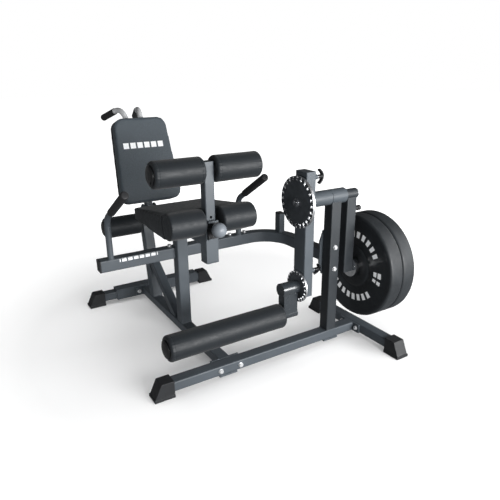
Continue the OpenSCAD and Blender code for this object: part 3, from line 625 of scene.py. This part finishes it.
def make_pin_block_shade_cover():
    """A black cover on the front of the carrier's pin block, painted shade for the dark gap there, grooved
    and with a collar at the pin.
    """
    low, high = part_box("seat_carrier")
    x, _, pin_z = middle_of("post_knob")
    half, bottom, top = 21 * MM, high[2] - 68 * MM, high[2] - 7 * MM
    groove_heights = (bottom + 9 * MM, top - 9 * MM)
    front, back = low[1] - 0.8 * MM, low[1] + 13.5 * MM
    # This black box stands in front of the pin block to paint in its deep shade.
    bm = bmesh.new()
    bmesh.ops.create_cube(bm, size=1)
    bmesh.ops.scale(bm, vec=(2 * half, back - front, top - bottom), verts=bm.verts)
    bmesh.ops.translate(bm, vec=(x, (front + back) / 2, (top + bottom) / 2), verts=bm.verts)
    for z in (bottom + 8 * MM, bottom + 10 * MM, top - 10 * MM, top - 8 * MM):
        bmesh.ops.bisect_plane(bm, geom=bm.verts[:] + bm.edges[:] + bm.faces[:], plane_co=(0, 0, z),
                               plane_no=(0, 0, 1))
    grooves = [face for face in bm.faces if abs(face.normal.z) < 0.5
               and min(abs(face.calc_center_median().z - z) for z in groove_heights) < 0.5 * MM]
    bmesh.ops.inset_region(bm, faces=grooves, thickness=0.3 * MM, depth=-0.7 * MM)
    bmesh.ops.bevel(bm, geom=bm.edges[:], offset=0.25 * MM, segments=2, affect="EDGES")
    add_lathe(bm, [(-2 * MM, 11.5 * MM), (-2 * MM, 14 * MM), (-1.2 * MM, 15.2 * MM), (1 * MM, 15.6 * MM),
                   (1 * MM, 11.5 * MM)], place_along((x, front, pin_z), (0, 1, 0)), 64)
    new_piece("pin_block_shade_cover", mesh_from(bm, "pin_block_shade_cover"), slot="knob_black", body=BODY_OF["seat_carrier"],
              smooth=False)


make_pin_block_shade_cover()
make_roller_caps("thigh_roller_caps", (-1, 1))
make_roller_caps("rear_roller_caps", (-1, 1))
make_roller_caps("ankle_roller_caps", (-1, 1))
make_grips("side_grips", "side_grip_sleeves", 12.6 * MM)
make_grips("pull_handle_grips", "pull_grip_sleeves", 12.6 * MM)
make_knob()
make_plate("inner_plate")
make_plate("outer_plate")
make_dial_ticks("index_dial", 89 * MM, 5.5 * MM, 24, 1.3)
make_dial_ticks("crank_dial", 54 * MM, 4.4 * MM, 20, 3.4)


# ---------------------------------------------------------------- welds and foot caps
def outline(half_u, half_v, corner, step):
    """Points round a rectangle with round corners, an even step apart."""
    corners = []
    for su, sv, turn in ((1, 1, 0), (-1, 1, 90), (-1, -1, 180), (1, -1, 270)):
        for k in range(7):
            t = math.radians(turn + 15 * k)
            corners.append(Vector((su * (half_u - corner) + corner * math.cos(t),
                                   sv * (half_v - corner) + corner * math.sin(t))))
    out = []
    for a, b in zip(corners, corners[1:] + corners[:1]):
        pieces = max(1, round((b - a).length / step))
        out += [a.lerp(b, k / pieces) for k in range(pieces)]
    return out


def add_weld(bm, place, half_u, half_v, corner=5 * MM):
    """A rippled bead round a tube's foot, in the place's XY plane."""
    path = [place @ Vector((u, v, 0)) for u, v in outline(half_u, half_v, corner, 1.6 * MM)]
    up = place.to_3x3() @ Vector((0, 0, 1))

    def bead(i):
        return 2.3 * MM + 0.35 * MM * math.sin(i * 1.9) + 0.2 * MM * math.sin(i * 0.37)

    add_tube(bm, path, bead, up)


def foot_place(node):
    """The middle and the half sizes of a node's lowest points."""
    points = points_of(frame["nodes"][node].data)
    ring = points[np.abs(points[:, 2] - points[:, 2].min()) < 0.5 * MM]
    low, high = ring.min(axis=0), ring.max(axis=0)
    return Vector((low + high) / 2), (high - low) / 2


def make_welds():
    bm = bmesh.new()
    for node in ("front_upright", "right_upright", "stub_post", "rear_upright", "seat_carrier"):
        at, half = foot_place(node)
        add_weld(bm, Matrix.Translation(at), half[0], half[1])
    for node in ("side_handle_left", "side_handle_right"):
        at, half = foot_place(node)
        add_weld(bm, Matrix.Translation(at), half[0], half[1], corner=half[0] - 0.01 * MM)
    new_piece("frame_welds", mesh_from(bm, "frame_welds"), slot="frame_paint", body="frame")


def softened_copy(node, name, width):
    """A copy of a CAD node with its edges really rounded, in place of the node."""
    bm = bmesh.new()
    bm.from_mesh(frame["nodes"][node].data)
    bmesh.ops.remove_doubles(bm, verts=bm.verts, dist=0.001 * MM)
    bmesh.ops.dissolve_limit(bm, angle_limit=math.radians(1), verts=bm.verts, edges=bm.edges)
    piece = new_piece(name, mesh_from(bm, name), like=node, smooth=False)
    bevel = piece.modifiers.new("bevel", "BEVEL")
    bevel.width = width
    bevel.segments = 3
    bevel.limit_method = "ANGLE"
    bevel.angle_limit = math.radians(30)
    apply_modifiers(piece)
    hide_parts(node)


# ---------------------------------------------------------------- padded seat and backrest
def remeshed_copy(node, voxel, inset, smooth_steps):
    """The CAD pad's outer shape as an even mesh, smoothed and drawn in by inset."""
    source = frame["nodes"][node]
    bm = bmesh.new()
    bm.from_mesh(source.data)
    bmesh.ops.remove_doubles(bm, verts=bm.verts, dist=1e-6)
    mesh = bpy.data.meshes.new(node + "_pad")
    bm.to_mesh(mesh)
    bm.free()
    piece = bpy.data.objects.new(node + "_pad", mesh)
    scene.collection.objects.link(piece)
    remesh = piece.modifiers.new("remesh", "REMESH")
    remesh.mode = "VOXEL"
    remesh.voxel_size = voxel
    smooth = piece.modifiers.new("smooth", "SMOOTH")
    smooth.factor = 0.5
    smooth.iterations = smooth_steps
    apply_modifiers(piece)
    move_points(piece.data, points_of(piece.data) - inset * normals_of(piece.data))
    return piece


def evened(mesh, shift, rounds):
    """Averages each point's shift with its neighbours', which takes the small wrinkles out of it."""
    ends = np.zeros(len(mesh.edges) * 2, int)
    mesh.edges.foreach_get("vertices", ends)
    a, b = ends.reshape(-1, 2).T
    count = np.bincount(np.concatenate((a, b)), minlength=len(shift))[:, None]
    for _ in range(rounds):
        total = np.zeros_like(shift)
        np.add.at(total, a, shift[b])
        np.add.at(total, b, shift[a])
        shift = (shift + total / count) / 2
    return shift


def puff(piece, pressure, cap, steps=20):
    """Swells the closed mesh as cloth under inner pressure, outwards and no further than cap."""
    before = points_of(piece.data)
    cloth = piece.modifiers.new("cloth", "CLOTH")
    cloth.settings.use_pressure = True
    cloth.settings.uniform_pressure_force = pressure
    cloth.settings.effector_weights.gravity = 0
    cloth.settings.quality = 4
    cloth.settings.mass = 0.35
    cloth.settings.tension_stiffness = 18
    cloth.settings.compression_stiffness = 18
    cloth.settings.bending_stiffness = 0.6
    cloth.point_cache.frame_start = 1
    cloth.point_cache.frame_end = steps
    for step in range(1, steps + 1):
        scene.frame_set(step)
    graph = bpy.context.evaluated_depsgraph_get()
    after = points_of(piece.evaluated_get(graph).data)
    piece.modifiers.remove(cloth)
    scene.frame_set(1)
    shift = evened(piece.data, after - before, 30)
    normals = normals_of(piece.data)
    outward = (shift * normals).sum(axis=1, keepdims=True)
    shift = np.maximum(outward, -0.5 * MM) * normals
    length = np.maximum(np.linalg.norm(shift, axis=1, keepdims=True), 1e-9)
    move_points(piece.data, before + shift * np.minimum(1, cap / length))


def hold_inside(piece, node):
    low, high = (np.array(v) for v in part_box(node))
    move_points(piece.data, np.clip(points_of(piece.data), low, high))


def subdivide(piece):
    level = piece.modifiers.new("subdivision", "SUBSURF")
    level.levels = 1
    level.render_levels = 1
    apply_modifiers(piece)


def press_along(piece, distance, depth, width):
    """Presses a sewn channel into the mesh; distance(points) gives each point's way to the seam."""
    points = points_of(piece.data)
    d = distance(points)
    press = depth * np.exp(-((d / width) ** 2))
    move_points(piece.data, points - press[:, None] * normals_of(piece.data))


SEAT_LOW, SEAT_HIGH = (np.array(v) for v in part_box("seat_pad"))
ROLL_R = 50 * MM
ROLL_Y = SEAT_LOW[1] + ROLL_R
SEAT_TAPER = 15 / 482


def seat_half_width(y):
    """Half width of the seat at y: it narrows towards the back."""
    return 180 * MM - SEAT_TAPER * (y - (SEAT_LOW[1] - 53 * MM))


def make_seat():
    pad = remeshed_copy("seat_pad", 5 * MM, 1 * MM, 2)
    puff(pad, 4.0, 5 * MM)
    hold_inside(pad, "seat_pad")
    subdivide(pad)

    def to_side_crease(p):
        """Where each end of the front roll meets the flat side: a line down the side."""
        on_side = np.abs(p[:, 0]) > seat_half_width(p[:, 1]) - 14 * MM
        line_y = ROLL_Y + 46 * MM - 0.25 * (SEAT_HIGH[2] - p[:, 2])
        return np.where(on_side, np.abs(p[:, 1] - line_y), 1.0)

    def to_top_seam(p):
        """The seam that joins the top panel to the side panels."""
        back = p[:, 1] > ROLL_Y + 30 * MM
        up = p[:, 2] > SEAT_LOW[2] + 0.35 * (SEAT_HIGH[2] - SEAT_LOW[2])
        return np.where(back & up, np.abs(np.abs(p[:, 0]) - (seat_half_width(p[:, 1]) - 7 * MM)), 1.0)

    press_along(pad, to_side_crease, 2.2 * MM, 5 * MM)
    press_along(pad, to_top_seam, 0.9 * MM, 2.5 * MM)
    mesh = pad.data
    bpy.data.objects.remove(pad)
    seat = new_piece("seat_cushion", mesh, like="seat_pad")
    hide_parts("seat_pad")


make_seat()

BACK_LEAN = math.radians(16.5)
BACK_UP = Vector((0, math.sin(BACK_LEAN), math.cos(BACK_LEAN)))
BACK_OUT = Vector((0, -math.cos(BACK_LEAN), math.sin(BACK_LEAN)))
BACK_MIDDLE = middle_of("backrest_pad")
BACK_T = 50 * MM


def back_coords(points):
    """Points as (across, up the pad, out of its front), from the pad's middle."""
    away = points - np.array(BACK_MIDDLE)
    return np.stack([away[:, 0], away @ np.array(BACK_UP), away @ np.array(BACK_OUT)], axis=1)


def make_backrest():
    pad = remeshed_copy("backrest_pad", 5 * MM, 1.2 * MM, 3)
    puff(pad, 3.0, 5 * MM)
    points = points_of(pad.data)
    local = back_coords(points)
    sideways = normals_of(pad.data)
    sideways -= (sideways @ np.array(BACK_OUT))[:, None] * np.array(BACK_OUT)
    tuck = np.clip((-local[:, 2] - 10 * MM) / (13 * MM), 0, 1) ** 2
    points -= 5 * MM * tuck[:, None] * sideways
    over = np.maximum(0, -local[:, 2] - (BACK_T / 2 - 0.2 * MM))
    points += over[:, None] * np.array(BACK_OUT)
    over = np.maximum(0, local[:, 2] - (BACK_T / 2 + 1.5 * MM))
    points -= over[:, None] * np.array(BACK_OUT)
    move_points(pad.data, points)
    subdivide(pad)

    def to_edge_seam(p):
        """A seam round the side, a finger's width behind the front face."""
        return np.abs(back_coords(p)[:, 2] - (BACK_T / 2 - 17 * MM)) + np.where(
            np.abs(normals_of(pad.data) @ np.array(BACK_OUT)) > 0.75, 1.0, 0.0)

    press_along(pad, to_edge_seam, 1.4 * MM, 2.4 * MM)
    mesh = pad.data
    bpy.data.objects.remove(pad)
    back = new_piece("backrest_cushion", mesh, like="backrest_pad")
    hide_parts("backrest_pad")
    return back


backrest = make_backrest()


def make_back_cover():
    """The moulded cover behind the pad, with the pad's outline and round edges."""
    cover = remeshed_copy("backrest_board", 3.5 * MM, 0.0, 3)
    subdivide(cover)
    mesh = cover.data
    bpy.data.objects.remove(cover)
    piece = new_piece("backrest_cover", mesh, like="backrest_board")
    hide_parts("backrest_board")


make_back_cover()
make_welds()
softened_copy("foot_caps", "foot_cap_mouldings", 2.5 * MM)


# ---------------------------------------------------------------- prints
def surface(piece):
    return BVHTree.FromObject(piece, bpy.context.evaluated_depsgraph_get())


def add_print(bm, tree, middle, across, up, width, height):
    """A thin patch laid on a surface, seen from the side that across and up span."""
    out = across.cross(up).normalized()
    grid = []
    for i in range(5):
        row = []
        for j in range(4):
            at = middle + across * (width * (i / 4 - 0.5)) + up * (height * (j / 3 - 0.5)) + out * 0.1
            hit = tree.ray_cast(at, -out)[0]
            row.append((hit + out * 0.35 * MM, hit - out * 0.15 * MM))
        grid.append(row)
    tops = [[bm.verts.new(top) for top, _ in row] for row in grid]
    feet = [[bm.verts.new(foot) for _, foot in row] for row in grid]
    for i in range(4):
        for j in range(3):
            bm.faces.new((tops[i][j], tops[i + 1][j], tops[i + 1][j + 1], tops[i][j + 1]))
            bm.faces.new((feet[i][j + 1], feet[i + 1][j + 1], feet[i + 1][j], feet[i][j]))
    rim = [(i, 0) for i in range(4)] + [(4, j) for j in range(3)] + [(i, 3) for i in range(4, 0, -1)]
    rim += [(0, j) for j in range(3, 0, -1)]
    for (i, j), (m, n) in zip(rim, rim[1:] + rim[:1]):
        bm.faces.new((feet[i][j], feet[m][n], tops[m][n], tops[i][j]))


def make_dashes(name, target, body, slot, middle, across, up, widths, gap, height):
    """A row of plain bars, centred on middle."""
    tree = surface(target)
    bm = bmesh.new()
    at = -(sum(widths) + gap * (len(widths) - 1)) / 2
    for width in widths:
        add_print(bm, tree, middle + across * (at + width / 2), across, up, width, height)
        at += width + gap
    new_piece(name, mesh_from(bm, name), slot=slot, body=body, material=GLOWING_WHITE_PRINT, smooth=False)


RIGHT = Vector((1, 0, 0))
UP = Vector((0, 0, 1))
make_dashes("backrest_print", backrest, "backrest", "back_vinyl",
            BACK_MIDDLE - RIGHT * 4 * MM + BACK_UP * 67 * MM, RIGHT, BACK_UP, [25 * MM] * 6, 8 * MM, 26 * MM)
beam_low, beam_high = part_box("cross_beam")
make_dashes("beam_print", frame["nodes"]["cross_beam"], "frame", "frame_paint",
            Vector((beam_low[0] + 158 * MM, beam_low[1], (beam_low[2] + beam_high[2]) / 2)), RIGHT, UP,
            [4 * MM] + [19 * MM] * 6 + [4 * MM], 6 * MM, 14 * MM)


# ---------------------------------------------------------------- stage, light and camera
def make_floor():
    """Pale paper that glows more with distance, so the horizon never shows."""
    bm = bmesh.new()
    bmesh.ops.create_grid(bm, x_segments=2, y_segments=2, size=30)
    mesh = mesh_from(bm, "floor")
    floor = bpy.data.objects.new("floor", mesh)
    scene.collection.objects.link(floor)
    floor.location = (0, 0, -0.5 * MM)
    s = Shade("floor_paper", (0.8, 0.8, 0.8), 0.8, Specular_IOR_Level=0.0, Emission_Color=(1, 1, 1, 1))
    away = s.tree.nodes.new("ShaderNodeVectorMath")
    away.operation = "LENGTH"
    s.link(s.where.outputs["Object"], away.inputs[0])
    s.link(s.remap(away.outputs["Value"], 0.9, 2.6, 0.15, 1.1), s.shader.inputs["Emission Strength"])
    mesh.materials.append(s.material)
    floor.visible_diffuse = False
    floor.visible_glossy = False
    return floor


def make_light(name, place, aim, size, watts, glossy=True, only=None):
    """A soft box; `only` names the single object that it lights."""
    data = bpy.data.lights.new(name, "AREA")
    data.shape = "RECTANGLE"
    data.size, data.size_y = size
    data.energy = watts
    light = bpy.data.objects.new(name, data)
    scene.collection.objects.link(light)
    light.location = place
    light.rotation_euler = (Vector(aim) - Vector(place)).to_track_quat("-Z", "Y").to_euler()
    light.visible_glossy = glossy
    if only:
        group = bpy.data.collections.new(name + "_receivers")
        group.objects.link(only)
        light.light_linking.receiver_collection = group


def make_world():
    """White behind everything for the camera; a grey room, dim above and behind, lights the object."""
    world = bpy.data.worlds.new("studio")
    scene.world = world
    world.use_nodes = True
    tree = world.node_tree
    path = tree.nodes.new("ShaderNodeLightPath")
    toward = tree.nodes.new("ShaderNodeTexCoord")
    split = tree.nodes.new("ShaderNodeSeparateXYZ")
    tree.links.new(toward.outputs["Generated"], split.inputs["Vector"])
    dim = []
    for axis, ends in (("Y", (0.0, 0.8, 1.0, 0.5)), ("Z", (0.1, 0.8, 1.0, 0.2))):
        node = tree.nodes.new("ShaderNodeMapRange")
        for socket, value in zip(("From Min", "From Max", "To Min", "To Max"), ends):
            node.inputs[socket].default_value = value
        tree.links.new(split.outputs[axis], node.inputs["Value"])
        dim.append(node.outputs["Result"])
    both = tree.nodes.new("ShaderNodeMath")
    both.operation = "MULTIPLY"
    tree.links.new(dim[0], both.inputs[0])
    tree.links.new(dim[1], both.inputs[1])
    sees_camera = tree.nodes.new("ShaderNodeMath")
    sees_camera.operation = "MAXIMUM"
    tree.links.new(both.outputs["Value"], sees_camera.inputs[0])
    tree.links.new(path.outputs["Is Camera Ray"], sees_camera.inputs[1])
    tree.links.new(sees_camera.outputs["Value"], tree.nodes["Background"].inputs["Strength"])
    color = (0.19, 0.197, 0.204, 1)
    for ray, seen in (("Is Glossy Ray", (0.3, 0.305, 0.31, 1)), ("Is Camera Ray", (1, 1, 1, 1))):
        mix = tree.nodes.new("ShaderNodeMix")
        mix.data_type = "RGBA"
        if isinstance(color, tuple):
            mix.inputs[6].default_value = color
        else:
            tree.links.new(color, mix.inputs[6])
        mix.inputs[7].default_value = seen
        tree.links.new(path.outputs[ray], mix.inputs["Factor"])
        color = mix.outputs[2]
    tree.links.new(color, tree.nodes["Background"].inputs["Color"])


def make_camera():
    data = bpy.data.cameras.new("camera")
    data.lens = 35.78
    data.sensor_width = 36
    data.clip_end = 100
    camera = bpy.data.objects.new("camera", data)
    scene.collection.objects.link(camera)
    right = Vector((0.8497, -0.5273, -0.0089))
    up = Vector((0.1812, 0.2760, 0.9440))
    back = Vector((-0.4953, -0.8036, 0.3300))
    turn = Matrix((right, up, back)).transposed().to_4x4()
    camera.matrix_world = Matrix.Translation((-1.051, -1.8837, 1.1091)) @ turn
    scene.camera = camera


floor = make_floor()
make_light("front_box", (0.75, -3.4, 0.95), (0, -0.2, 0.55), (3.0, 1.2), 215)
make_light("left_box", (-3.4, 0.2, 0.7), (0, 0, 0.5), (1.8, 1.2), 22, glossy=False)
make_light("side_box", (3.2, -1.2, 1.3), (0.2, 0, 0.5), (1.4, 1.4), 40)
make_light("back_box", (0.9, 4.2, 1.8), (0, 0, 0.4), (2.4, 1.6), 18, glossy=False)
make_light("floor_box", (0, 0.2, 3.0), (0, 0, 0), (2.6, 2.6), 66, glossy=False, only=floor)
make_world()
make_camera()
scene.view_settings.view_transform = "Standard"
